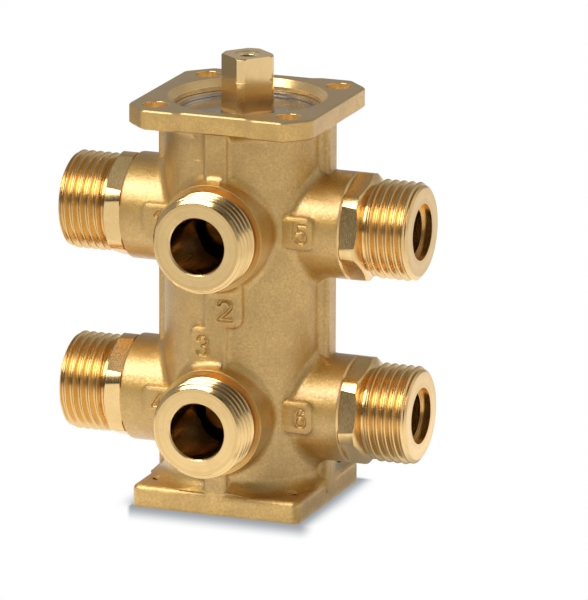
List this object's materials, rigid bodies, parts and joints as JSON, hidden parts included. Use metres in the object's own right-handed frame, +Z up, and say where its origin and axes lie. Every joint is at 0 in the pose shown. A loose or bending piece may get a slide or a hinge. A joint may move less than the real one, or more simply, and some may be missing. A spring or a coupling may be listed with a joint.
{
  "type": "six-way control valve",
  "caption": "Brass six-way ball valve: threaded ports in two rows and one stem that turns a ball in each row, with a flange for a rotary actuator.",
  "frame": {"origin": "body axis at the underside of the base plate", "axes": "+Z up along the stem, +X towards ports 5 and 6, -Y towards the front ports 2 and 3"},
  "size_m": [0.0788, 0.0497, 0.096],
  "materials": {
    "forged_brass": "blasted",
    "turned_brass": "turned, bright",
    "stem_brass": "milled, satin",
    "inner_brass": "turned",
    "chromed_ball": "polished",
    "polished_steel": "polished",
    "spring_steel": "satin",
    "seat_plastic": "smooth",
    "seal_rubber": "matt"
  },
  "bodies": {
    "body": {"valve_body": "forged_brass", "port_1_fitting": "turned_brass", "port_1_seat": "seat_plastic", "port_1_seat_seal": "seal_rubber", "port_1_thread_seal": "seal_rubber", "port_4_fitting": "turned_brass", "port_4_seat": "seat_plastic", "port_4_seat_seal": "seal_rubber", "port_4_thread_seal": "seal_rubber", "port_5_fitting": "turned_brass", "port_5_seat": "seat_plastic", "port_5_seat_seal": "seal_rubber", "port_5_thread_seal": "seal_rubber", "port_6_fitting": "turned_brass", "port_6_seat": "seat_plastic", "port_6_seat_seal": "seal_rubber", "port_6_thread_seal": "seal_rubber", "stem_bush": "inner_brass", "stem_bush_seal": "seal_rubber", "thrust_washer": "seat_plastic", "cover_disc": "polished_steel", "retaining_ring": "spring_steel", "partition_bush": "inner_brass", "partition_ring": "spring_steel", "partition_lower_seal": "seal_rubber", "partition_upper_seal": "seal_rubber"},
    "rotor": {"stem": "stem_brass", "upper_ball": "chromed_ball", "link_shaft": "inner_brass", "lower_ball": "chromed_ball", "stem_lower_seal": "seal_rubber", "stem_upper_seal": "seal_rubber", "link_lower_seal": "seal_rubber", "link_upper_seal": "seal_rubber"}
  },
  "joints": [
    {"name": "stem_turn", "type": "hinge", "parent": "body", "child": "rotor", "pos_m": [0, 0, 0.09], "axis": [0, 0, 1], "range_deg": [-51, 39]}
  ]
}
